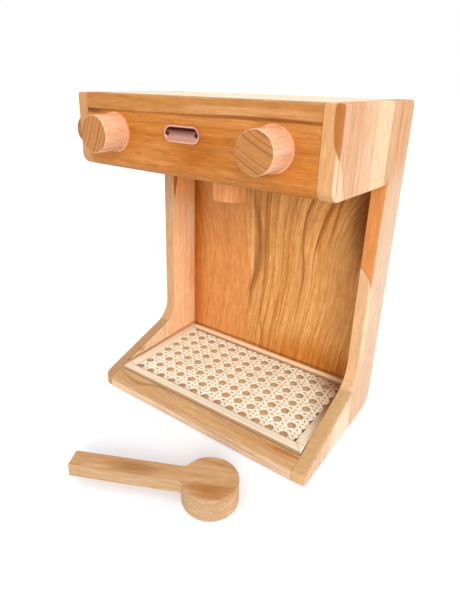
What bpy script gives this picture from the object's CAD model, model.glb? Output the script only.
# %% [markdown]
# # A wooden toy coffee maker
#
# The object is a child's play coffee maker: a C-shaped case glued up from teak staves, three turned knobs,
# a drip tray with a panel of woven cane, a small copper plate on the front and a loose wooden portafilter.
#
# The solids were designed in CAD, and they are loaded here as a fixed frame. Most of them already have the
# right shape, so they only get a finish. The pieces that need more than a solid can give, such as the woven
# cane, are built here as surfaces, exactly where the CAD has them. All lengths are metres unless a name ends
# in `_mm`.

# %% Load the frame
import math

import bpy
import numpy as np
from mathutils import Matrix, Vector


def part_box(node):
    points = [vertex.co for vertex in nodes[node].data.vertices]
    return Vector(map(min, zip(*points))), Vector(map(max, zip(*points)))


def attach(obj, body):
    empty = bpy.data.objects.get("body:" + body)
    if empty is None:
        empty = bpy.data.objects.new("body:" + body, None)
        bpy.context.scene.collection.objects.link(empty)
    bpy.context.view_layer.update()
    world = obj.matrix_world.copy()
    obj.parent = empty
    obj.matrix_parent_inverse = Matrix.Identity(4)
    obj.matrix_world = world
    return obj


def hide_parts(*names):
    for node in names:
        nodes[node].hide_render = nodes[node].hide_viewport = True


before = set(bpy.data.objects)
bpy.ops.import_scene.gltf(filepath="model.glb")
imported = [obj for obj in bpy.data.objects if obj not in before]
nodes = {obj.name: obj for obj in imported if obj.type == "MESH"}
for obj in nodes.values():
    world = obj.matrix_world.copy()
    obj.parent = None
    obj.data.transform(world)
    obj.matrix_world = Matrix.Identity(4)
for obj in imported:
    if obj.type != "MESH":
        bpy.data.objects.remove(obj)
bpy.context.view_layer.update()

# %% [markdown]
# ## The camera
#
# A photographer stood in front of the toy, to its right and a little above it. A camera in Blender looks
# down its own -Z axis, so three directions are enough to aim it: the way it looks, its right and its up.
# They are worked out from how far it is turned to the left, tipped down and leaned, and they become the
# columns of its matrix. The lens length is the focal length in pixels, scaled to the 36 mm sensor.

# %% Camera
FRAME_PX = (460, 592)
camera_at = (0.241477, -0.362277, 0.316314)
turned, tipped, leaned = 0.626108, 0.376270, -0.021326
focal_px = 476.257
centre_px = (219.311, 268.885)

looks = np.array([-math.sin(turned) * math.cos(tipped), math.cos(turned) * math.cos(tipped), -math.sin(tipped)])
level = np.array([math.cos(turned), math.sin(turned), 0.0])
down = np.cross(looks, level)
right = math.cos(leaned) * level + math.sin(leaned) * down
up = math.sin(leaned) * level - math.cos(leaned) * down

camera = bpy.data.objects.new("camera", bpy.data.cameras.new("camera"))
bpy.context.scene.collection.objects.link(camera)
matrix = np.eye(4)
matrix[:3, :3] = np.stack([right, up, -looks], axis=1)
matrix[:3, 3] = camera_at
camera.matrix_world = Matrix(matrix.tolist())
camera.data.sensor_width = 36.0
camera.data.lens = focal_px * 36.0 / max(FRAME_PX)
camera.data.shift_x = (FRAME_PX[0] / 2 - centre_px[0]) / max(FRAME_PX)
camera.data.shift_y = (centre_px[1] - FRAME_PX[1] / 2) / max(FRAME_PX)
camera.data.clip_start = 0.01
bpy.context.scene.camera = camera
print("camera: lens", round(camera.data.lens, 2), "mm")

# %% [markdown]
# ## Small helpers for materials
#
# Colours are easiest to pick as the sRGB hex values that a screen shows, but Blender's shaders add up light,
# which needs linear values. One function turns the first into the second.
#
# A material is a small tree of nodes. Adding a node always takes the same three steps: make it, set its
# properties, and link or fill its inputs. One helper does all three for any kind of node.

# %% Colour and node helpers
def linear(hex_colour):
    """sRGB to linear: c / 12.92 for the darkest values, ((c + 0.055) / 1.055) to the power 2.4 above them."""
    srgb = np.array([int(hex_colour[i : i + 2], 16) for i in (1, 3, 5)]) / 255
    low, high = srgb / 12.92, ((srgb + 0.055) / 1.055) ** 2.4
    return (*np.where(srgb <= 0.04045, low, high).tolist(), 1.0)


def add(tree, kind, inputs=(), stops=(), **settings):
    """Adds a shader node, sets its properties, and links or fills its inputs.
    stops are the places and colours of a colour ramp."""
    new = tree.nodes.new("ShaderNode" + kind)
    for name, value in settings.items():
        setattr(new, name, value)
    for socket, value in dict(inputs).items():
        if isinstance(value, bpy.types.NodeSocket):
            tree.links.new(value, new.inputs[socket])
        else:
            new.inputs[socket].default_value = value
    for i, (place, colour) in enumerate(stops):
        stop = new.color_ramp.elements[i] if i < 2 else new.color_ramp.elements.new(place)
        stop.position = place
        stop.color = colour
    return new


def new_material(name):
    """An empty Principled material: returns it, its tree and its shader."""
    material = bpy.data.materials.new(name)
    material.use_nodes = True
    return material, material.node_tree, material.node_tree.nodes["Principled BSDF"]


# %% [markdown]
# ## Teak, as a solid
#
# A real board is a slice of a tree, so its faces, edges and ends all show the same growth rings, cut at
# different angles. A flat picture of grain can't do that. Here the wood is a solid pattern instead: each
# board has its own log, given by a point on the log's middle line and the direction of the grain.
#
# - The distance from the middle line gives the ring that a point is in.
# - Slow noise, stretched along the grain, bends the rings, and that makes the flames on a flat-sawn face.
# - Fine noise, stretched much more, gives the fibres and the short dark pores.
# - A patch is a soft ellipsoid of another colour, for sapwood and for darker heartwood.
# - A vein is a band that follows a drawn curve, for the dark streaks and the pale flames that one board has
#   and the next one doesn't. A colour ramp stores the curve: its red channel is the place across the grain,
#   its green channel the half width and its blue channel the strength.
# - A face tint colours the faces that look one way, because end grain drinks more oil than a side does.
#
# Teak rings are 2 to 6 mm wide and its pores 0.2 mm. Those pores are too fine for a picture in which a pixel
# is nearly a millimetre, so they are drawn about three times as wide.

# %% Teak
ALONG = {"x": (0.0, math.radians(90), 0.0), "y": (math.radians(-90), 0.0, 0.0), "z": (0.0, 0.0, 0.0)}
AXIS = {"x": (1.0, 0.0, 0.0), "y": (0.0, 1.0, 0.0), "z": (0.0, 0.0, 1.0)}

# How often a pattern changes in a millimetre: across the log in both directions, and along it. The patterns in
# FIGURE also have the noise's detail and roughness.
BEND = (0.022, 0.022, 0.0045)
FIGURE = {
    "streaks": ((0.16, 0.16, 0.006), 3.0, 0.55),
    "fibres": ((1.15, 1.15, 0.035), 3.0, 0.6),
    "vessels": ((1.7, 1.7, 0.11), 1.0, 0.5),
    "flecks": ((0.33, 0.33, 0.06), 4.0, 0.7),
}
DRIFT_PER_MM, RING_DRIFT = 0.11, 2.4  # how often the rings' spacing drifts, and by how many rings

# From one growth line to the next: places from 0 to 1, and how strong the line is there.
RING_LINE = [(0.0, 1.0), (1.0, 0.75), (0.1, 0.55), (0.3, 0.06), (0.72, 0.0), (0.93, 0.3)]
OIL_STAIN = (1.0, 0.93, 0.82, 1.0)  # what is left of each channel where more oil soaks in


def curve_ramp(tree, place, rows):
    """Rows of (place, a, b, c) in mm, read as smooth curves: returns the sockets of a, b and c at the place."""
    rows = np.array(sorted(rows), float)
    low, high = rows.min(0), rows.max(0)
    span = np.where(high - low < 1e-9, 1.0, high - low)
    share = (rows - low) / span
    where = add(tree, "MapRange", {"Value": place, "From Min": low[0], "From Max": high[0]}).outputs[0]
    ramp = add(tree, "ValToRGB", {"Fac": where}, stops=[(p, (a, b, c, 1.0)) for p, a, b, c in share.tolist()])
    ramp.color_ramp.interpolation = "CARDINAL"
    parts = add(tree, "SeparateColor", {0: ramp.outputs[0]}).outputs
    scaled = ({0: parts[i], 1: span[i + 1], 2: low[i + 1]} for i in range(3))
    return [add(tree, "Math", values, operation="MULTIPLY_ADD").outputs[0] for values in scaled]


def vein_mask(tree, xyz, axes, rows, depth, soft):
    """1 where |across - centre| < half width, falling to 0 over the soft outer part, times the same in depth.
    axes names the axis along the vein, the one across it and the depth's. depth is its middle and half size."""
    along, across, deep = (xyz["xyz".index(a)] for a in axes)
    centre, half, strength = curve_ramp(tree, along, rows)
    gap = add(tree, "Math", {0: across, 1: centre}, operation="SUBTRACT").outputs[0]
    gap = add(tree, "Math", {0: gap}, operation="ABSOLUTE").outputs[0]
    share = add(tree, "Math", {0: gap, 1: half}, operation="DIVIDE").outputs[0]
    edge = {"Value": share, "From Min": 1.0 - soft, "From Max": 1.0 + soft, "To Min": 1.0, "To Max": 0.0}
    mask = add(tree, "MapRange", edge, interpolation_type="SMOOTHSTEP").outputs[0]
    mask = add(tree, "Math", {0: mask, 1: strength}, operation="MULTIPLY").outputs[0]
    if depth:
        middle, reach = depth
        sunk = add(tree, "Math", {0: deep, 1: middle}, operation="SUBTRACT").outputs[0]
        sunk = add(tree, "Math", {0: sunk}, operation="ABSOLUTE").outputs[0]
        end = {"Value": sunk, "From Min": 0.7 * reach, "From Max": reach, "To Min": 1.0, "To Max": 0.0}
        inside = add(tree, "MapRange", end).outputs[0]
        mask = add(tree, "Math", {0: mask, 1: inside}, operation="MULTIPLY").outputs[0]
    return mask


def teak(name, wood, pale, line, grain="z", pith_mm=(0, 0, 0), tilt=(0, 0), turn=0.0, ring_mm=4.5, bend_mm=5.0,
         line_share=0.6, pale_share=0.6, side_lines=1.0, fibre=0.14, pores=0.35, faces=(), patches=(), veins=(),
         flow=(), rough=0.5, squiggle_mm=5.0, shine=0.16):
    """Oiled teak: rings = distance from the log's middle line, bent by slow noise, with fibres along the grain.
    wood, pale and line are colours, and a share is how strongly its colour shows.
    faces: (direction, low, high, tint, share), by the dot product of the normal and the direction.
    patches: (place, size, lean in degrees, soft edge, tint, share). veins: as vein_mask, then (tint, share).
    flow: rows of (height, sideways shift, spread, 0) that bend the whole log."""
    material, tree, shader = new_material(name)
    here = add(tree, "TexCoord")
    normal = here.outputs["Normal"]
    local_mm = add(tree, "Mapping", {"Vector": here.outputs["Object"], "Scale": (1000,) * 3}).outputs[0]
    grown = local_mm
    if flow:
        x, y, z = add(tree, "SeparateXYZ", {0: local_mm}).outputs
        shift, spread, _ = curve_ramp(tree, z, flow)
        moved = add(tree, "Math", {0: x, 1: shift}, operation="SUBTRACT").outputs[0]
        eased = add(tree, "Math", {0: moved, 1: spread}, operation="DIVIDE").outputs[0]
        grown = add(tree, "CombineXYZ", {0: eased, 1: y, 2: z}).outputs[0]
    log_turn = [start + math.radians(more) for start, more in zip(ALONG[grain], (*tilt, turn))]
    log = add(tree, "Mapping", {"Vector": grown, "Location": pith_mm, "Rotation": log_turn},
              vector_type="TEXTURE").outputs[0]
    slow = add(tree, "Mapping", {"Vector": log, "Scale": BEND}).outputs[0]
    bends = add(tree, "TexNoise", {"Vector": slow, "Scale": 1.0, "Detail": 2.0, "Roughness": 0.45}).outputs["Color"]
    centred = add(tree, "VectorMath", {0: bends, 1: (0.5, 0.5, 0.5)}, operation="SUBTRACT").outputs[0]
    sway = (2 * bend_mm, 2 * bend_mm, 0.0)
    shifts = add(tree, "VectorMath", {0: centred, 1: sway}, operation="MULTIPLY").outputs[0]
    bent = add(tree, "VectorMath", {0: log, 1: shifts}, operation="ADD").outputs[0]
    flat = add(tree, "VectorMath", {0: bent, 1: (1.0, 1.0, 0.0)}, operation="MULTIPLY").outputs[0]
    radius = add(tree, "VectorMath", {0: flat}, operation="LENGTH").outputs["Value"]

    ring_place = add(tree, "Math", {0: radius, 1: DRIFT_PER_MM}, operation="MULTIPLY").outputs[0]
    by_ring = add(tree, "TexNoise", {"W": ring_place, "Scale": 1.0, "Detail": 3.0},
                  noise_dimensions="1D").outputs["Fac"]
    widths = add(tree, "Math", {0: radius, 1: 1 / ring_mm}, operation="MULTIPLY").outputs[0]
    uneven = add(tree, "Math", {0: by_ring, 1: RING_DRIFT, 2: widths}, operation="MULTIPLY_ADD").outputs[0]
    phase = add(tree, "Math", {0: uneven}, operation="FRACT").outputs[0]
    line_mask = add(tree, "ValToRGB", {"Fac": phase},
                    stops=[(place, (dark, dark, dark, 1)) for place, dark in RING_LINE]).outputs[0]

    figure = {}
    for pattern, (changes, detail, harsh) in FIGURE.items():
        drawn_out = add(tree, "Mapping", {"Vector": bent, "Scale": changes}).outputs[0]
        look = {"Vector": drawn_out, "Scale": 1.0, "Detail": detail, "Roughness": harsh}
        figure[pattern] = add(tree, "TexNoise", look).outputs["Fac"]
    fibres, flecks = figure["fibres"], figure["flecks"]

    # Noise lies mostly between 0.3 and 0.7, so every mask rises somewhere between the two.
    sapwood = {"Value": figure["streaks"], "From Min": 0.36, "From Max": 0.64, "To Max": pale_share}
    pale_mask = add(tree, "MapRange", sapwood, interpolation_type="SMOOTHSTEP").outputs[0]
    colour = add(tree, "Mix", {0: pale_mask, 6: linear(wood), 7: linear(pale)}, data_type="RGBA").outputs[2]
    faded = add(tree, "MapRange", {"Value": by_ring, "From Min": 0.3, "From Max": 0.62,
                                   "To Min": 0.15 * line_share, "To Max": line_share}).outputs[0]
    line_fac = add(tree, "Math", {0: line_mask, 1: faded}, operation="MULTIPLY").outputs[0]
    if side_lines < 1.0:
        on_end = add(tree, "VectorMath", {0: normal, 1: AXIS[grain]}, operation="DOT_PRODUCT").outputs["Value"]
        on_end = add(tree, "Math", {0: on_end}, operation="ABSOLUTE").outputs[0]
        kept = add(tree, "MapRange", {"Value": on_end, "From Min": 0.5, "From Max": 0.9,
                                      "To Min": side_lines}).outputs[0]
        line_fac = add(tree, "Math", {0: line_fac, 1: kept}, operation="MULTIPLY").outputs[0]

    squiggle = {0: centred, 1: (squiggle_mm,) * 3, 2: local_mm}
    wavy = add(tree, "VectorMath", squiggle, operation="MULTIPLY_ADD").outputs[0]
    for place, size, lean, edge, tint, share in patches:
        inside = add(tree, "Mapping", {"Vector": wavy, "Location": place, "Scale": size,
                                       "Rotation": [math.radians(v) for v in lean]},
                     vector_type="TEXTURE").outputs[0]
        far = add(tree, "VectorMath", {0: inside}, operation="LENGTH").outputs["Value"]
        fade = {"Value": far, "From Min": 1.0 - edge, "From Max": 1.0, "To Min": share, "To Max": 0.0}
        mask = add(tree, "MapRange", fade, interpolation_type="SMOOTHSTEP").outputs[0]
        colour = add(tree, "Mix", {0: mask, 6: colour, 7: linear(tint)}, data_type="RGBA").outputs[2]
    for direction, low, high, tint, share in faces:
        facing = add(tree, "VectorMath", {0: normal, 1: direction}, operation="DOT_PRODUCT").outputs["Value"]
        mask = add(tree, "MapRange", {"Value": facing, "From Min": low, "From Max": high,
                                      "To Max": share}).outputs[0]
        colour = add(tree, "Mix", {0: mask, 6: colour, 7: linear(tint)}, data_type="RGBA").outputs[2]
    vessel_mask = add(tree, "MapRange", {"Value": figure["vessels"], "From Min": 0.62, "From Max": 0.72,
                                         "To Max": pores}).outputs[0]
    for mask in (line_fac, vessel_mask):
        colour = add(tree, "Mix", {0: mask, 6: colour, 7: linear(line)}, data_type="RGBA").outputs[2]
    if veins:
        xyz = add(tree, "SeparateXYZ", {0: wavy}).outputs
    for axes, rows, depth, soft, tint, share in veins:
        mask = vein_mask(tree, xyz, axes, rows, depth, soft)
        mask = add(tree, "Math", {0: mask, 1: share}, operation="MULTIPLY").outputs[0]
        colour = add(tree, "Mix", {0: mask, 6: colour, 7: linear(tint)}, data_type="RGBA").outputs[2]

    stained = add(tree, "Mix", {0: 1.0, 6: colour, 7: OIL_STAIN}, data_type="RGBA",
                  blend_type="MULTIPLY").outputs[2]
    dry = add(tree, "MapRange", {"Value": flecks, "From Min": 0.42, "From Max": 0.66,
                                 "To Max": min(1.0, 5 * fibre)}).outputs[0]
    colour = add(tree, "Mix", {0: dry, 6: stained, 7: colour}, data_type="RGBA").outputs[2]
    both = add(tree, "Math", {0: flecks, 1: 1.2, 2: fibres}, operation="MULTIPLY_ADD").outputs[0]
    shade = add(tree, "MapRange", {"Value": both, "From Min": 0.75, "From Max": 1.45,
                                   "To Min": 1 - fibre, "To Max": 1 + fibre}).outputs[0]
    colour = add(tree, "VectorMath", {0: colour, "Scale": shade}, operation="SCALE").outputs[0]
    tree.links.new(colour, shader.inputs["Base Color"])
    gloss = add(tree, "MapRange", {"Value": fibres, "From Min": 0.3, "From Max": 0.7,
                                   "To Min": rough + 0.08, "To Max": rough - 0.06}).outputs[0]
    tree.links.new(gloss, shader.inputs["Roughness"])
    raised = add(tree, "Math", {0: fibres, 1: line_fac}, operation="SUBTRACT").outputs[0]
    bump = add(tree, "Bump", {"Strength": 0.35, "Distance": 0.00012, "Height": raised}).outputs[0]
    tree.links.new(bump, shader.inputs["Normal"])
    shader.inputs["IOR"].default_value = 1.48
    shader.inputs["Specular IOR Level"].default_value = shine
    return material


def finish_nodes(material, *names):
    """Gives CAD nodes this finish, by their material slots."""
    for name in names:
        node = nodes[name]
        if not node.material_slots:
            node.data.materials.append(material)
        for slot in node.material_slots:
            slot.material = material
    print(material.name, "on", len(names), "nodes")


# %% [markdown]
# ## The case's sides
#
# Each side is glued up from three upright staves. On the right side's head, the front one is pinkish, the
# middle one is pale sapwood, and the back one, which is also the column, is tan. The edges that the saw cut
# round the C are end grain and rift grain, and they are browner, so most boards have a tint for the faces
# that look forwards, or up and forwards.

# %% Finishes of the case's sides
UP_AND_FORWARDS = (0.0, -0.7, 0.7)
FORWARDS = (0.0, -1.0, 0.0)

finish_nodes(
    teak("teak_right_head_front", "#C8966F", "#DAB294", "#A8744C", pith_mm=(60, 40, 0), tilt=(1.5, 2), ring_mm=6.5,
         line_share=0.3, pale_share=0.7, squiggle_mm=2.5, faces=[(FORWARDS, 0.35, 0.75, "#BE9062", 0.95)],
         veins=[("zyx", [(240, -69, 8.5, 1), (262, -73, 5, 1), (285, -78, 2.5, 0)], (124.5, 3.2), 0.3, "#E0C1A4",
                 0.8),
                ("zyx", [(243, -57, 0.7, 1), (262, -66, 0.6, 1), (290, -70, 0.5, 0)], (124.5, 3.2), 0.6, "#A5754E",
                 0.4),
                ("zxy", [(306, 121.6, 3.0, 1), (290, 121.8, 3.2, 1), (280, 122.6, 2.6, 1), (271, 124.2, 0.6, 1)],
                 (-76, 3.2), 0.2, "#98571C", 0.85)]),
    "right_head_front_stave")
finish_nodes(
    teak("teak_right_head_middle", "#D2A683", "#DEB694", "#C09270", pith_mm=(40, 30, 0), tilt=(1, 1.5), ring_mm=7,
         line_share=0.25, pale_share=0.8,
         veins=[("zyx", [(200, 5, 17, 1), (306, 4, 17, 1)], None, 0.08, "#DBC09C", 0.8)]),
    "right_head_middle_stave")
finish_nodes(
    teak("teak_right_column_stave", "#C69A72", "#D6B18C", "#A6744A", pith_mm=(20, -60, 0), tilt=(1.2, 0.8),
         ring_mm=5.5, line_share=0.35, pale_share=0.6, squiggle_mm=1.2,
         faces=[(FORWARDS, 0.5, 0.9, "#C69F7A", 0.8)],
         veins=[("zyx", [(0, 60, 46, 0.6), (150, 58, 40, 1), (240, 58, 22, 0.5), (262, 56, 14, 0)], (124.5, 4), 0.4,
                 "#D2B49C", 0.85),
                ("zyx", [(236, 56, 20, 0), (262, 56, 22, 0.9), (306, 56, 22, 1)], None, 0.5, "#C89464", 0.7),
                ("zyx", [(250, 46, 1.6, 0), (270, 44, 2.4, 1), (306, 43, 2.0, 1)], None, 0.8, "#A86C3C", 0.55),
                ("zyx", [(243, 60, 1.0, 0), (275, 58, 1.8, 1), (306, 59, 1.2, 1)], None, 0.8, "#B27A4A", 0.5),
                ("zxy", [(130, 128, 0.5, 1), (144.6, 128, 3.8, 1), (149.5, 128, 5.8, 1), (154.7, 128, 8, 1),
                         (158, 128, 10.3, 1), (161, 128, 13, 1), (164, 128, 17, 1), (170, 128, 20, 1),
                         (243, 128, 20, 1), (246, 128, 20, 0)], (31.5, 2.6), 0.05,
                 "#BF7636", 0.85),
                ("xzy", [(110, 166, 0.8, 1), (112.2, 164.1, 0.8, 1), (115, 161, 0.8, 1), (117.7, 158, 0.8, 1),
                         (120, 154.7, 0.8, 1), (122.2, 149.5, 0.8, 1), (123.7, 144.6, 0.8, 1), (125, 138, 0.6, 0)],
                 (31.5, 2.8), 0.5, "#8E5526", 0.55),
                ("zyx", [(66, 33, 1.4, 0), (90, 33.6, 2.0, 1), (125, 33.2, 1.6, 1), (150, 32.6, 1.0, 0)],
                 (124.6, 3.5), 0.5, "#DEC79C", 0.6)]),
    "right_column_stave")
finish_nodes(
    teak("teak_right_base", "#C8A68A", "#D8BCA2", "#AE8A6A", pith_mm=(60, 40, 0), tilt=(1.5, 2), ring_mm=7,
         line_share=0.25, pale_share=0.7, pores=0.1, faces=[(UP_AND_FORWARDS, 0.3, 0.6, "#B8966A", 0.9)],
         patches=[((124, 0, 8), (12, 36, 50), (0, 0, 0), 0.6, "#E6D2BE", 0.8)]),
    "right_base_front_stave", "right_base_middle_stave")
finish_nodes(
    teak("teak_left_head", "#B88962", "#C79B70", "#9F6C42", pith_mm=(-80, 30, 0), tilt=(1.5, 2), ring_mm=6,
         line_share=0.35, pale_share=0.6, faces=[(FORWARDS, 0.5, 0.9, "#AB7C50", 0.85)]),
    "left_head_front_stave", "left_head_middle_stave")
finish_nodes(
    teak("teak_left_base", "#E0BE9E", "#EAD0B4", "#C08C5E", pith_mm=(-60, -30, 0), tilt=(1, 2), ring_mm=6,
         line_share=0.3, pale_share=0.7, faces=[(UP_AND_FORWARDS, 0.3, 0.6, "#A1825C", 0.95)],
         veins=[("yzx", [(-60, 20.2, 0.8, 1), (22, 20.2, 1.0, 1)], (-111, 4), 0.6, "#8A5A30", 0.7),
                ("yzx", [(-34, 25, 1.0, 0), (-24, 25, 2.2, 1), (-16, 27, 1.0, 0)], (-111, 4), 0.7, "#A8683A",
                 0.6)]),
    "left_base_front_stave", "left_base_middle_stave")
finish_nodes(
    teak("teak_left_column_stave", "#E8BC94", "#F0CEAE", "#C88A54", pith_mm=(-90, 90, 0), tilt=(1, 1), ring_mm=6,
         line_share=0.3, pale_share=0.6, faces=[(UP_AND_FORWARDS, 0.3, 0.6, "#AF8860", 0.9)],
         patches=[((-107, 60, 225), (15, 50, 60), (0, 0, 0), 0.9, "#F89838", 0.9),
                  ((-107, 30, 20), (15, 60, 60), (0, 0, 0), 0.9, "#ECC09A", 0.7)],
         veins=[("zyx", [(30, 44, 7, 0), (60, 43, 6, 1), (150, 43, 6, 0.8), (200, 43, 6, 0)], None, 0.6, "#F0C9A2",
                 0.6),
                ("zyx", [(60, 66, 6, 0), (90, 66, 5, 1), (150, 66, 6, 0)], (-111, 5), 0.7, "#DC8A50", 0.5),
                ("zyx", [(190, 37, 0.6, 0), (197, 37, 1.0, 1), (206, 38, 2.4, 1), (222, 39, 4, 1)], None, 0.3,
                 "#8F5214", 0.75),
                ("yzx", [(20, 20.2, 1.0, 1), (74, 20.2, 1.0, 1)], (-111, 4), 0.6, "#8A5A30", 0.7)]),
    "left_column_stave")

# %% [markdown]
# ## The boards between the sides
#
# The fascia is the darkest and reddest board, with its grain across the front and a paler band above one
# growth line. The back panel has the boldest figure: its rings run up it and fan out to the right at the top.
# A flow, with a sideways shift and a spread for each height, bends the whole log for that. The rail in front
# of the tray, the top board, the head's floor and the base board are plainer.

# %% Finishes of the boards
finish_nodes(
    teak("teak_fascia", "#AC6C2E", "#BE824A", "#74400F", grain="x", pith_mm=(0, -30, 200), tilt=(0.6, 0.5),
         ring_mm=7, bend_mm=4, line_share=0.38, pale_share=0.6, fibre=0.2, pores=0.5, squiggle_mm=2.0, shine=0.08,
         faces=[((0.0, 0.0, 1.0), 0.6, 0.9, "#E6DAC8", 0.9)],
         patches=[((8, -76, 264), (44, 30, 26), (0, 0, 0), 0.9, "#98520F", 0.7),
                  ((95, -76, 262), (40, 30, 30), (0, 0, 0), 0.9, "#B56E2C", 0.7),
                  ((-60, -76, 275), (22, 30, 22), (0, 0, 0), 0.9, "#AE6624", 0.5)],
         veins=[("xzy", [(-114, 301, 8.5, 1), (-40, 301, 8.5, 1), (20, 301.5, 8, 1), (60, 300.5, 7.5, 1),
                         (114, 300, 7, 1)], None, 0.12,
                 "#A87440", 0.85),
                ("xzy", [(-114, 304, 1.6, 1), (-60, 303, 1.5, 1), (0, 299, 1.4, 0)], None, 0.8, "#A06026", 0.5),
                ("xzy", [(-20, 296, 2.5, 0), (20, 296, 3, 1), (80, 297, 2.5, 1), (114, 296, 2.5, 0.5)], None, 0.6,
                 "#C09062", 0.6),
                ("xzy", [(-114, 291.5, 0.9, 1), (-40, 291.5, 0.8, 0.6), (10, 291.5, 1.2, 0.9), (60, 292.5, 1.2, 1),
                         (114, 292.2, 1.2, 1)],
                 None, 0.6, "#6E3A10", 0.7),
                ("xzy", [(-114, 290.5, 2.0, 1), (-100, 290.3, 1.6, 1), (-84, 290.3, 0.8, 0)], None, 0.5, "#4E2420",
                 0.7)]),
    "fascia")
finish_nodes(
    teak("teak_back_panel", "#BE8244", "#DAA466", "#7A4614", grain="z", pith_mm=(-190, 130, 0), tilt=(0, 0),
         ring_mm=5.6, bend_mm=3, line_share=0.75, pale_share=0.65, fibre=0.22, pores=0.55, squiggle_mm=3.0,
         shine=0.08, flow=[(15, -13, 1.0, 0), (60, -8, 1.0, 0), (100, -2, 1.0, 0), (135, 0, 1.0, 0),
                           (170, -1, 1.08, 0), (205, 1, 1.25, 0),
               (243, 4, 1.5, 0)],
         patches=[((-70, 72, 110), (44, 20, 150), (0, 0, 0), 0.5, "#BE7C42", 0.7),
                  ((-116, 72, 100), (33, 20, 300), (0, 0, 0), 0.6, "#984E04", 0.95),
                  ((78, 72, 140), (24, 20, 80), (0, 0, 0), 0.8, "#AA7C48", 0.7),
                  ((110, 72, 215), (32, 20, 95), (0, 10, 0), 0.9, "#4E2408", 0.95),
                  ((60, 72, 26), (110, 20, 34), (0, 0, 0), 0.9, "#B0661A", 0.7)],
         veins=[("zxy", [(15, -66, 40, 1), (243, -64, 34, 1)], None, 0.35, "#C88750", 0.6),
                ("zxy", [(40, 84, 12, 0), (90, 77, 17, 0.9), (150, 75, 15, 0.9), (195, 78, 12, 0)], None, 0.7,
                 "#C08A52", 0.6),
                ("zxy", [(60, -27, 1.5, 0), (90, -27, 2.4, 0.9), (115, -20, 5, 1), (150, -17, 5, 1),
                         (180, -22, 3.5, 1), (210, -30, 5, 0.8), (243, -33, 7, 0.7)], None, 0.9, "#7A4A22", 0.65),
                ("zxy", [(96, -27, 1.0, 0), (120, -26, 2.2, 1), (165, -27, 2, 1), (200, -29, 1.6, 0.8),
                         (243, -29, 1.2, 0.6)], None, 0.5,
                 "#DCA870", 0.7),
                ("zxy", [(15, -5, 1.2, 0.5), (60, -12, 1.4, 0.8), (110, -9, 1.4, 0.9), (160, -9, 1.6, 1),
                         (200, -10, 1.2, 0.7), (243, -10, 1, 0.4)],
                 None, 0.6, "#8A5424", 0.6),
                ("zxy", [(60, 32, 1.0, 0.3), (100, 36, 1.3, 0.8), (130, 38, 1.5, 1), (165, 35, 1.5, 1),
                         (200, 40, 1.4, 0.9), (243, 52, 1.4, 0.8)],
                 None, 0.6, "#7C4618", 0.65),
                ("zxy", [(120, 47, 1.0, 0), (160, 50, 1.3, 0.8), (200, 61, 1.8, 1), (243, 74, 2.0, 1)], None, 0.6,
                 "#6E3C10", 0.65),
                ("zxy", [(150, 60, 1.0, 0), (175, 65, 1.2, 0.8), (210, 72, 1.6, 1), (243, 80, 1.8, 1)], None, 0.6,
                 "#6E3C10", 0.6),
                ("zxy", [(100, 114, 4, 0), (150, 112, 14, 0.7), (200, 110, 24, 0.9), (243, 106, 30, 1)], None, 0.8,
                 "#74380A", 0.75),
                ("xzy", [(-114, 20.5, 1.3, 1), (114, 20.5, 1.3, 1)], None, 0.6, "#6E3A14", 0.6)]),
    "back_panel")
finish_nodes(
    teak("teak_front_rail", "#B68F66", "#C9A67E", "#96693C", grain="x", pith_mm=(0, -30, -40), tilt=(0.8, 0.6),
         ring_mm=5, line_share=0.45, pale_share=0.6, faces=[(FORWARDS, 0.5, 0.9, "#CCB49C", 0.7)],
         veins=[("xzy", [(-112, 10.5, 0.7, 1), (-20, 10, 0.7, 1), (40, 8.5, 0.7, 0.8), (100, 5, 0.7, 0.3)],
                 (-72, 4), 0.6, "#8E6A48", 0.6),
                ("xzy", [(-114, 3, 7, 1), (-60, 3, 7, 0.8), (20, 3, 7, 0)], (-76, 4), 0.6, "#A07A58", 0.6),
                ("xzy", [(-112, 15.5, 0.5, 0.8), (-80, 14, 0.6, 1), (-50, 16, 0.5, 0.7), (-20, 13.5, 0.5, 0)], None,
                 0.8, "#8A5C30", 0.6),
                ("xyz", [(70, -60, 1.2, 0), (90, -59.5, 1.6, 1), (112, -59, 1.2, 1)], None, 0.5, "#A05C1C", 0.7)]),
    "front_rail")
finish_nodes(
    teak("teak_base_board", "#FFE2BE", "#FFEACC", "#F0CA98", grain="x", pith_mm=(0, 20, -60), tilt=(0.8, 0.6),
         ring_mm=6, line_share=0.3, pale_share=0.6, fibre=0.08,
         veins=[("xyz", [(-112, 63, 4, 1), (112, 63, 4, 1)], None, 0.4, "#6E4420", 0.7)]),
    "base_board")
finish_nodes(
    teak("teak_top_boards", "#E2D4BE", "#EEE4D4", "#BE9C74", grain="x", pith_mm=(0, 40, 240), tilt=(0.5, 0.9),
         ring_mm=6, line_share=0.35, pale_share=0.6),
    "top_board", "head_floor")

# %% [markdown]
# ## The tray's frame
#
# The tray's four rails are planed strips of a pale hardwood with no oil on them. The grain runs along each
# rail, so the front and back rails share one finish, and the side rails another. A thin dark line marks each
# mitre, where glue and dust sit in the joint.

# %% Finishes of the tray's frame
low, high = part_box("tray_front_rail")
TRAY_X, TRAY_FRONT = high.x * 1000, low.y * 1000
TRAY_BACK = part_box("tray_back_rail")[1].y * 1000
TRAY_WOOD = dict(ring_mm=3.5, bend_mm=2, line_share=0.3, pale_share=0.6, fibre=0.07, pores=0.1, rough=0.6,
                 squiggle_mm=0.3)


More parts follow.
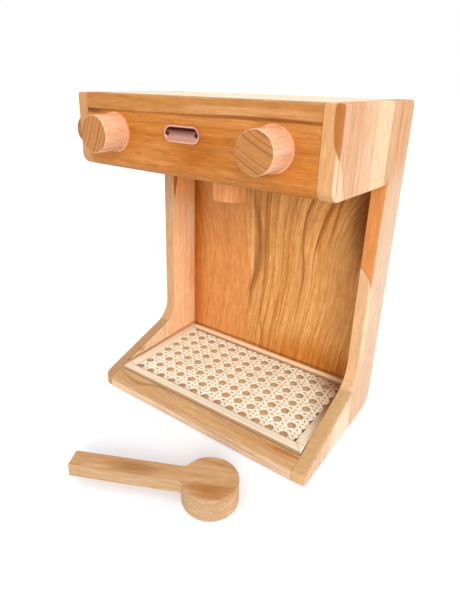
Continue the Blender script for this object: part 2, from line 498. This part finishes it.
def mitre_veins():
    """A thin dark line on each mitre: y = corner y + or - (distance in from the corner x)."""
    reach = 9.0
    for side in (-1, 1):
        for y, inward in ((TRAY_FRONT, 1), (TRAY_BACK, -1)):
            rows = [(side * TRAY_X, y, 0.45, 1), (side * (TRAY_X - reach), y + inward * reach, 0.45, 1)]
            yield ("xyz", rows, None, 0.6, "#8A6844", 0.6)


finish_nodes(
    teak("pale_hardwood_across", "#E0D8CA", "#EEE8DE", "#BEA27E", grain="x", pith_mm=(0, -20, -30),
         faces=[(FORWARDS, 0.35, 0.8, "#9C7C58", 0.9)],
         patches=[((0, 69, 16), (400, 14, 30), (0, 0, 0), 0.3, "#FBEBD2", 1.0),
                  ((116, 72, 18), (40, 22, 16), (0, 0, 0), 0.9, "#A85A22", 0.95)],
         veins=list(mitre_veins()), **TRAY_WOOD),
    "tray_front_rail", "tray_back_rail", "cane_beads")
finish_nodes(
    teak("pale_hardwood_lengthways", "#E2D6C2", "#EEE6D8", "#C4A985", grain="y", pith_mm=(40, 0, -30),
         patches=[((106, 80, 18), (20, 110, 20), (0, 0, 0), 0.5, "#8A4A14", 0.95)],
         veins=list(mitre_veins()), **TRAY_WOOD),
    "tray_left_rail", "tray_right_rail")

# %% [markdown]
# ## Dowels and metal
#
# The dowels and the knobs' axles are ramin or birch rod. The brads and the plate's nails are blackened steel,
# and the magnets and the screw are nickel-plated. A metal's colour is what it reflects, so there the colour
# is the plating's, and only the roughness varies.

# %% Finishes of the dowels and the metal
finish_nodes(
    teak("birch_dowel", "#CDB083", "#D8C09A", "#B5935F", grain="z", pith_mm=(20, 20, 0), ring_mm=2, bend_mm=1,
         line_share=0.25, fibre=0.08, pores=0.1, rough=0.6),
    "case_dowels", "front_left_knob_axle", "front_right_knob_axle", "side_knob_axle", "front_left_knob_retainer",
    "front_right_knob_retainer", "side_knob_retainer")


def metal(name, colour, worn, rough, grit_mm):
    """A metal whose tone and roughness vary in fine specks, grit_mm apart."""
    material, tree, shader = new_material(name)
    here = add(tree, "TexCoord").outputs["Object"]
    specks = add(tree, "TexNoise", {"Vector": here, "Scale": 1000 / grit_mm, "Detail": 3.0}).outputs["Fac"]
    tone = add(tree, "Mix", {0: specks, 6: linear(colour), 7: linear(worn)}, data_type="RGBA").outputs[2]
    tree.links.new(tone, shader.inputs["Base Color"])
    spread = add(tree, "MapRange", {"Value": specks, "To Min": rough - 0.08, "To Max": rough + 0.08}).outputs[0]
    tree.links.new(spread, shader.inputs["Roughness"])
    shader.inputs["Metallic"].default_value = 1.0
    return material


finish_nodes(metal("blackened_steel", "#2A2422", "#4A403A", 0.45, 0.6), "back_brads", "badge_nails")
finish_nodes(metal("nickel_plate", "#B9B8B5", "#D2D1CE", 0.25, 0.8), "group_head_magnet", "portafilter_magnet",
             "group_head_screw")

# %% [markdown]
# ## The copper plate
#
# The small plate on the front is stamped from copper sheet and polished, with a raised rim. Copper reflects
# the whole room, so it gets its look from a low roughness and from slow noise in the surface, which breaks up
# the reflection as hand polishing does. Inside the rim it is tarnished, most of all near the top. The rim is
# where the distance from the plate's middle line is nearly half the plate's height.

# %% Finish of the plate
low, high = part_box("badge_plate")
plate_middle = ((low.x + high.x) / 2, 0.0, (low.z + high.z) / 2)
half_height = (high.z - low.z) / 2
half_straight = (high.x - low.x) / 2 - half_height
material, tree, shader = new_material("polished_copper")
here = add(tree, "TexCoord").outputs["Object"]
buffed = add(tree, "TexNoise", {"Vector": here, "Scale": 350.0, "Detail": 2.0}).outputs["Fac"]
tone = add(tree, "Mix", {0: buffed, 6: linear("#D8967E"), 7: linear("#E8B29C")}, data_type="RGBA").outputs[2]
from_middle = add(tree, "VectorMath", {0: here, 1: plate_middle}, operation="SUBTRACT").outputs[0]
x, _, z = add(tree, "SeparateXYZ", {0: from_middle}).outputs
off_middle = add(tree, "Math", {0: x}, operation="ABSOLUTE").outputs[0]
past_straight = add(tree, "Math", {0: off_middle, 1: half_straight}, operation="SUBTRACT").outputs[0]
past_straight = add(tree, "Math", {0: past_straight, 1: 0.0}, operation="MAXIMUM").outputs[0]
outwards = add(tree, "CombineXYZ", {0: past_straight, 2: z}).outputs[0]
from_line = add(tree, "VectorMath", {0: outwards}, operation="LENGTH").outputs["Value"]
in_field = add(tree, "MapRange", {"Value": from_line, "From Min": half_height * 0.86,
                                  "From Max": half_height * 0.74}).outputs[0]
upper = add(tree, "MapRange", {"Value": z, "From Min": -0.002, "From Max": 0.0035, "To Min": 0.3}).outputs[0]
tarnish = add(tree, "Math", {0: in_field, 1: upper}, operation="MULTIPLY").outputs[0]
tone = add(tree, "Mix", {0: tarnish, 6: tone, 7: linear("#42120C")}, data_type="RGBA").outputs[2]
tree.links.new(tone, shader.inputs["Base Color"])
spread = add(tree, "MapRange", {"Value": buffed, "To Min": 0.12, "To Max": 0.3}).outputs[0]
tree.links.new(spread, shader.inputs["Roughness"])
dents = add(tree, "Bump", {"Strength": 0.4, "Distance": 0.0003, "Height": buffed}).outputs[0]
tree.links.new(dents, shader.inputs["Normal"])
shader.inputs["Metallic"].default_value = 1.0
finish_nodes(material, "badge_plate")

# %% [markdown]
# ## The turned knobs
#
# A knob is a length of teak rod, faced on a lathe: straight sides, a softened rim and an end that is very
# slightly domed. A lathe makes a surface of revolution, so the mesh is one too. A profile of distances from
# the axis and along it is swept round, as a grid of angles times profile points, and the two ends close in a
# single point.

# %% Turned pieces
def turned(profile, sides=96):
    """Each profile point (reach, radius) becomes a ring: x = radius * cos(angle), y = radius * sin(angle) and
    z = reach. The first and the last point have radius 0 and are poles."""
    profile = np.asarray(profile, float)
    angle = np.linspace(0, 2 * np.pi, sides, endpoint=False)
    reach, radius = profile[1:-1, 0], profile[1:-1, 1]
    x, y = np.outer(radius, np.cos(angle)), np.outer(radius, np.sin(angle))
    rings = np.stack([x, y, np.repeat(reach[:, None], sides, 1)], -1)
    verts = np.vstack([rings.reshape(-1, 3), [[0, 0, profile[0, 0]], [0, 0, profile[-1, 0]]]])
    i, j = np.meshgrid(np.arange(len(reach) - 1), np.arange(sides), indexing="ij")
    k = (j + 1) % sides
    quads = np.stack([i * sides + j, i * sides + k, (i + 1) * sides + k, (i + 1) * sides + j], -1).reshape(-1, 4)
    j, last = np.arange(sides), (len(reach) - 1) * sides
    first_fan = np.stack([(j + 1) % sides, j, np.full(sides, len(verts) - 2)], -1)
    last_fan = np.stack([last + j, last + (j + 1) % sides, np.full(sides, len(verts) - 1)], -1)
    return verts, quads.tolist() + first_fan.tolist() + last_fan.tolist()


def new_piece(name, verts, faces, material, body, slot, *stands_for, soft_edge=35):
    """A mesh object at the origin, smooth except at edges sharper than soft_edge degrees, riding on a body."""
    mesh = bpy.data.meshes.new(name)
    mesh.from_pydata(np.asarray(verts).tolist(), [], [list(f) for f in faces])
    mesh.shade_smooth()
    mesh.set_sharp_from_angle(angle=math.radians(soft_edge))
    mesh.materials.append(material)
    piece = bpy.data.objects.new(name, mesh)
    bpy.context.scene.collection.objects.link(piece)
    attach(piece, body)
    if stands_for:
        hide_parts(*stands_for)
    print(name, len(mesh.vertices), "vertices", len(mesh.polygons), "faces")
    return piece


def rounded_rod(length, radius, rim, dome=0.0, back_rim=0.0003, steps=8):
    """A rod's profile: back face, straight side, a quarter circle of radius rim, and an end domed by a parabola."""
    t = np.linspace(0, np.pi / 2, steps)
    back = np.stack([back_rim * (1 - np.cos(t)), radius - back_rim * (1 - np.sin(t))], -1)
    front = np.stack([length - dome - rim * (1 - np.sin(t)), radius - rim * (1 - np.cos(t))], -1)
    r = np.linspace(radius - rim, 0, 7)[1:]
    cap = np.stack([length - dome * (r / (radius - rim)) ** 2, r], -1)
    return np.vstack([[[0, 0]], back, front, cap])


# %% [markdown]
# Each knob's wood has bold rings on the sawn end and is pinker and plainer round the side. The turned shape
# points up, so it is turned to the way the knob sticks out and moved to where the CAD has the knob.

# %% Knobs
def knob_wood(name, grain, pith, tilt=(0, 0), side=("#DBA888", "#E8BEA2")):
    """Teak rod: bold rings on the sawn end, and only faint lines on the turned side, which is pinker and paler."""
    end = {"x": (-1.0, 0.0, 0.0), "y": (0.0, -1.0, 0.0)}[grain]
    return teak(name, *side, "#4E2C18", grain=grain, pith_mm=pith, tilt=tilt, ring_mm=4.2, bend_mm=1.2,
                line_share=0.9, side_lines=0.22, pale_share=0.6, fibre=0.1, pores=0.3,
                faces=[(end, 0.6, 0.9, "#AA7442", 1.0)])


TURN_TO = {"-y": ((1, 0, 0), (0, 0, 1), (0, -1, 0)), "-x": ((0, 1, 0), (0, 0, 1), (-1, 0, 0))}


def knob(node, towards, material):
    """A rod from the ring outwards: its own x, y and z become the two sideways directions and the way it points."""
    low, high = (np.array(corner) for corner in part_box(node))
    size, middle = high - low, (low + high) / 2
    along, sideways = (1, 0) if towards == "-y" else (0, 1)
    foot = middle.copy()
    foot[along] = high[along]
    verts, faces = turned(rounded_rod(size[along], size[sideways] / 2, rim=0.0014, dome=0.0003))
    verts = verts @ np.array(TURN_TO[towards], float) + foot
    return new_piece(node + "_turned", verts, faces, material, node, "teak_turned", node)


knob("front_left_knob", "-y", knob_wood("teak_front_left_knob", "y", (-163, 0, 314), (0.6, 0)))
knob("front_right_knob", "-y", knob_wood("teak_front_right_knob", "y", (130, 0, 375), (0.6, 0)))
knob("side_knob", "-x", knob_wood("teak_side_knob", "x", (0, 30, 340), side=("#8A5C3A", "#A87450")))
finish_nodes(teak("teak_washer", "#D0966E", "#DDAA86", "#9A6A44", grain="z", pith_mm=(0, 40, 0), ring_mm=3,
                  bend_mm=1.5, line_share=0.3, fibre=0.08), "front_left_knob_washer", "front_right_knob_washer",
             "side_knob_washer")
finish_nodes(teak("teak_group_head", "#CE8A4E", "#D99C62", "#96603A", grain="z", pith_mm=(60, -30, 0), ring_mm=4,
                  bend_mm=1.5, line_share=0.3, fibre=0.18, pores=0.5), "group_head")

# %% [markdown]
# ## The portafilter
#
# The portafilter is sawn from one thick board, and its grain runs along the handle. The board had a darker
# flame halfway down the handle, and another across the far side of the round.

# %% Finish of the portafilter
finish_nodes(
    teak("teak_portafilter", "#BD946A", "#CEAA84", "#8E6234", grain="x", pith_mm=(66, -127, -45), turn=26.3,
         tilt=(0, 1.5), ring_mm=5, bend_mm=5, line_share=0.5, pale_share=0.6, fibre=0.14, pores=0.4,
         faces=[((0.0, -1.0, 0.0), 0.2, 0.6, "#A48C70", 0.65)],
         patches=[((10, -156, 21), (31, 10, 14), (0, 0, 26.3), 0.9, "#8A5618", 0.55),
                  ((74, -138, 21), (24, 12, 10), (0, 0, 20), 0.9, "#A66C30", 0.75),
                  ((-15, -174, 20), (18, 4, 8), (0, 0, 30), 0.9, "#D9B898", 0.7)]),
    "portafilter")

# %% [markdown]
# ## The woven cane
#
# Chair cane is the peel of rattan, in strands about 3 mm wide, flat below and crowned above. In the common
# open weave, strands run six ways: a pair from front to back, a pair across, and one strand on each diagonal.
# The pairs cross at the corners of a square lattice, and the diagonals cross halfway between, which leaves an
# eight-sided hole in the middle of each square.
#
# A texture could fake it, but the holes are real ones, and each strand passes over and under the others, so
# each is a ribbon here: a cross-section of six points is carried along its line, and its height comes from a
# sum of small waves, one for each crossing. Near the frame the weave is pressed flat.

# %% Cane lattice
low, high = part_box("cane_webbing")
PITCH = 0.0152  # from hole to hole
PAIR = 0.00215  # from a pair's middle line to the middle of each of its strands
WIDTH, THICK = 0.0031, 0.00048
DIP, DIAGONAL_DIP = 0.00016, 0.0006  # how far a strand rises and falls at a crossing
FIRST_HOLE = np.array([-0.0964, -0.0415])
ACROSS = np.array([-1.0, -0.72, 0.0, 0.72, 1.0, 0.0])  # a strand's section: places across it, and heights
CROWN = np.array([0.12, 0.78, 1.0, 0.78, 0.12, 0.0])
DRIFT, DRIFT_WAVES = 0.00009, 55  # no strand is quite straight: how far it strays, and how fast that changes

knot = FIRST_HOLE - PITCH / 2
bed = low.z + 0.00036
sheet_low, sheet_high = np.array(low)[:2], np.array(high)[:2]


def pressed(xy):
    """1 in the open, falling to 0.25 in the last 8 mm before the sheet's edge, where the frame grips the weave."""
    gap = np.minimum(xy - sheet_low, sheet_high - xy).min(-1)
    return 0.25 + 0.75 * np.clip((gap - 0.004) / 0.004, 0, 1)


def bumps(distance, width=0.0013):
    """A smooth hill at every lattice line: exp(-(d / width) squared), with d the distance to the nearest line."""
    d = (distance + PITCH / 2) % PITCH - PITCH / 2
    return np.exp(-((d / width) ** 2))


def ribbon(starts, ends, heights, name, step=0.0016):
    """Ribbons along straight lines. For each line, points step apart are worked out at once, the height rule gives
    each point's rise, and the section is added: sideways * a + up * b, with b the crown of a strand that is flat
    underneath."""
    across, crown, corners = ACROSS * WIDTH / 2, CROWN * THICK, len(ACROSS)
    all_verts, all_faces, all_uv, count = [], [], [], 0
    for n, (start, end) in enumerate(zip(starts, ends)):
        length = np.linalg.norm(end - start)
        rows = max(4, int(length / step))
        t = np.linspace(0, 1, rows)[:, None]
        line = start + (end - start) * t
        forward = (end - start) / length
        side = np.array([forward[1], -forward[0]])
        drift = DRIFT * np.sin(t[:, 0] * length * DRIFT_WAVES + n * 2.3)
        centre = line + side * drift[:, None]
        rise = bed + heights(n, line) * pressed(line)
        xy = centre[:, None, :] + side * across[None, :, None]
        z = rise[:, None] + crown[None, :]
        verts = np.concatenate([xy, z[..., None]], -1).reshape(-1, 3)
        i, j = np.meshgrid(np.arange(rows - 1), np.arange(corners), indexing="ij")
        here, beyond, k = i * corners, (i + 1) * corners, (j + 1) % corners
        quads = np.stack([here + j, here + k, beyond + k, beyond + j], -1).reshape(-1, 4)
        caps = np.array([[5, 4, 3, 2], [5, 2, 1, 0]])
        closed = [*caps[:, ::-1].tolist(), *(caps + (rows - 1) * corners).tolist()]
        all_verts.append(verts)
        all_faces += (quads + count).tolist() + [[v + count for v in face] for face in closed]
        u = np.repeat(t[:, 0] * length * 1000 + n * 137.0, corners)
        v = np.tile(across / WIDTH + 0.5, rows) + n * 3.0
        all_uv.append(np.stack([u, v], -1))
        count += len(verts)
    piece = new_piece(name, np.vstack(all_verts), all_faces, cane_peel, "tray", "cane", "cane_webbing",
                      soft_edge=60)
    layer = piece.data.uv_layers.new(name="strand")
    corner = np.zeros(len(piece.data.loops), np.int32)
    piece.data.loops.foreach_get("vertex_index", corner)
    layer.data.foreach_set("uv", np.vstack(all_uv)[corner].astype(np.float32).ravel())


# %% [markdown]
# Rattan peel is glassy and pale, with fine lines along each strand, a slightly browner edge, and no two
# strands of quite the same tone. The pattern follows the strand, so it reads the strand's own UV map: u is
# the place along it in millimetres, and v the place across it. Each strand is moved on by 137 mm and by three
# widths, so that neighbours differ. Near the tray's back right corner the peel is darker, like the wood there.

# %% Cane finish
cane_peel, tree, shader = new_material("rattan_peel")
uv = add(tree, "UVMap", uv_map="strand").outputs[0]
along = add(tree, "Mapping", {"Vector": uv, "Scale": (0.05, 9.0, 1.0)}).outputs[0]
lines = add(tree, "TexNoise", {"Vector": along, "Scale": 1.0, "Detail": 2.0}).outputs["Fac"]
strand_by_strand = add(tree, "Mapping", {"Vector": uv, "Scale": (0.012, 0.7, 1.0)}).outputs[0]
each = add(tree, "TexNoise", {"Vector": strand_by_strand, "Scale": 1.0, "Detail": 1.0}).outputs["Fac"]
tone = add(tree, "ValToRGB", {"Fac": each}, stops=[(0.3, linear("#F0E8D0")), (0.68, linear("#FDF8E8"))]).outputs[0]
v = add(tree, "SeparateXYZ", {0: uv}).outputs[1]
across_strand = add(tree, "Math", {0: v}, operation="FRACT").outputs[0]
off_middle = add(tree, "Math", {0: across_strand, 1: 0.5}, operation="SUBTRACT").outputs[0]
off_middle = add(tree, "Math", {0: off_middle}, operation="ABSOLUTE").outputs[0]
rim = add(tree, "MapRange", {"Value": off_middle, "From Min": 0.34, "From Max": 0.47, "To Max": 0.65}).outputs[0]
tone = add(tree, "Mix", {0: rim, 6: tone, 7: linear("#A87848")}, data_type="RGBA").outputs[2]
local = add(tree, "TexCoord").outputs["Object"]
from_corner = add(tree, "Mapping", {"Vector": local, "Location": (0.108, 0.066, 0.016),
                                    "Scale": (0.052, 0.032, 0.1)}, vector_type="TEXTURE").outputs[0]
far = add(tree, "VectorMath", {0: from_corner}, operation="LENGTH").outputs["Value"]
amber = add(tree, "MapRange", {"Value": far, "From Min": 0.3, "From Max": 1.0,
                               "To Min": 0.95, "To Max": 0.0}).outputs[0]
tone = add(tree, "Mix", {0: amber, 6: tone, 7: linear("#A8642C")}, data_type="RGBA").outputs[2]
shade = add(tree, "MapRange", {"Value": lines, "From Min": 0.3, "From Max": 0.7,
                               "To Min": 0.9, "To Max": 1.05}).outputs[0]
tone = add(tree, "VectorMath", {0: tone, "Scale": shade}, operation="SCALE").outputs[0]
tree.links.new(tone, shader.inputs["Base Color"])
bump = add(tree, "Bump", {"Strength": 0.3, "Distance": 0.0001, "Height": lines}).outputs[0]
tree.links.new(bump, shader.inputs["Normal"])
shader.inputs["Roughness"].default_value = 0.42
shader.inputs["IOR"].default_value = 1.5

# %% [markdown]
# The strands are laid out last. Every pair has a strand on each side of its lattice line, and the rules for
# the heights keep crossing strands apart: where one rises, the other dips. Strands that would stick out of
# the sheet's edges are left out or cut off there.

# %% Cane strands
columns = knot[0] + PITCH * np.arange(15)
rows_y = knot[1] + PITCH * np.arange(8)


def warp_height(n, xy):
    """A front-to-back strand dips under one of each pair across and rises over the other, and odd strands do the
    opposite: the height is DIP times the difference of two rows of bumps, one row for each strand of the pairs."""
    sign = 1 if n % 2 else -1
    return DIP * sign * (bumps(xy[:, 1] - knot[1] + PAIR) - bumps(xy[:, 1] - knot[1] - PAIR))


def weft_height(n, xy):
    """The same for a strand across, the other way up, so that the two never meet."""
    sign = 1 if n % 2 else -1
    return DIP * sign * (bumps(xy[:, 0] - knot[0] - PAIR) - bumps(xy[:, 0] - knot[0] + PAIR))


def diagonal_height(sign):
    """A diagonal is over the pairs across and under the pairs front to back, or the reverse: a cosine of y with a
    wave of one pitch, flattened by tanh so that it stays high or low for longer."""
    def rule(n, xy):
        wave = np.cos(2 * np.pi * (xy[:, 1] - knot[1]) / PITCH)
        return sign * DIAGONAL_DIP * np.tanh(1.6 * wave) / np.tanh(1.6)
    return rule


edge = WIDTH / 2
xs = (columns[:, None] + [-PAIR, PAIR]).ravel()
xs = xs[(xs > sheet_low[0] + edge) & (xs < sheet_high[0] - edge)]
starts, ends = (np.stack([xs, np.full_like(xs, y)], -1) for y in (sheet_low[1], sheet_high[1]))
ribbon(starts, ends, warp_height, "cane_front_to_back")
ys = (rows_y[:, None] + [-PAIR, PAIR]).ravel()
ys = ys[(ys > sheet_low[1] + edge) & (ys < sheet_high[1] - edge)]
starts, ends = (np.stack([np.full_like(ys, x), ys], -1) for x in (sheet_low[0], sheet_high[0]))
ribbon(starts, ends, weft_height, "cane_across")


def diagonals(slope):
    """Lines x - slope * y = knot + half a pitch + whole pitches, cut off where they leave the sheet."""
    offsets = knot[0] - slope * knot[1] + PITCH * (np.arange(-12, 24) + 0.5)
    in_low, in_high = sheet_low + edge, sheet_high - edge
    y_at = np.stack([(in_low[0] - offsets) / slope, (in_high[0] - offsets) / slope])
    y0 = np.clip(y_at.min(0), in_low[1], in_high[1])
    y1 = np.clip(y_at.max(0), in_low[1], in_high[1])
    keep = y1 - y0 > 0.004
    y0, y1, offsets = y0[keep], y1[keep], offsets[keep]
    return np.stack([offsets + slope * y0, y0], -1), np.stack([offsets + slope * y1, y1], -1)


ribbon(*diagonals(1), diagonal_height(1), "cane_diagonal_right")
ribbon(*diagonals(-1), diagonal_height(-1), "cane_diagonal_left")

# %% [markdown]
# ## Floor, light and colour
#
# The toy stands on plain white paper under soft studio light. The room is white all round. A broad lamp to
# the right and above gives the bright right side and the soft shadow on the left, and a broader, weaker one
# from the front fills the shadows. The paper glows a little, as an overexposed white ground does in a
# photograph. Colours are shown as they are, with no film curve.

# %% Floor and lights
paper, tree, shader = new_material("white_paper")
here = add(tree, "TexCoord").outputs["Object"]
tooth = add(tree, "TexNoise", {"Vector": here, "Scale": 400.0, "Detail": 3.0}).outputs["Fac"]
shader.inputs["Base Color"].default_value = linear("#ECF0F6")
shader.inputs["Roughness"].default_value = 0.9
shader.inputs["Specular IOR Level"].default_value = 0.0
bump = add(tree, "Bump", {"Strength": 0.05, "Distance": 0.0001, "Height": tooth}).outputs[0]
tree.links.new(bump, shader.inputs["Normal"])
shader.inputs["Emission Color"].default_value = (1, 1, 1, 1)
shader.inputs["Emission Strength"].default_value = 0.08
REACH, DROP = 30.0, 0.0003  # half the paper's size, and how far it lies below the toy, so that they don't mix
mesh = bpy.data.meshes.new("floor")
corners = [(x * REACH, y * REACH, -DROP) for x, y in ((-1, -1), (1, -1), (1, 1), (-1, 1))]
mesh.from_pydata(corners, [], [(0, 1, 2, 3)])
mesh.materials.append(paper)
floor = bpy.data.objects.new("floor", mesh)
bpy.context.scene.collection.objects.link(floor)

world = bpy.data.worlds.new("white_room")
world.use_nodes = True
world.node_tree.nodes["Background"].inputs["Color"].default_value = (1, 1, 1, 1)
world.node_tree.nodes["Background"].inputs["Strength"].default_value = 1.0
bpy.context.scene.world = world


def lamp(name, from_direction, strength, angle):
    """A distant soft light: its -Z axis points from the given direction towards the object."""
    light = bpy.data.lights.new(name, "SUN")
    light.energy = strength
    light.angle = math.radians(angle)
    holder = bpy.data.objects.new(name, light)
    bpy.context.scene.collection.objects.link(holder)
    z = np.array(from_direction, float)
    z /= np.linalg.norm(z)
    x = np.cross([0.0, 1.0, 0.0], z)
    x /= np.linalg.norm(x)
    m = np.eye(4)
    m[:3, :3] = np.stack([x, np.cross(z, x), z], 1)
    holder.matrix_world = Matrix(m.tolist())


lamp("key", (0.66, -0.76, 0.46), strength=1.8, angle=28)
lamp("fill", (0.30, -0.85, 0.42), strength=0.7, angle=60)
bpy.context.scene.view_settings.view_transform = "Standard"
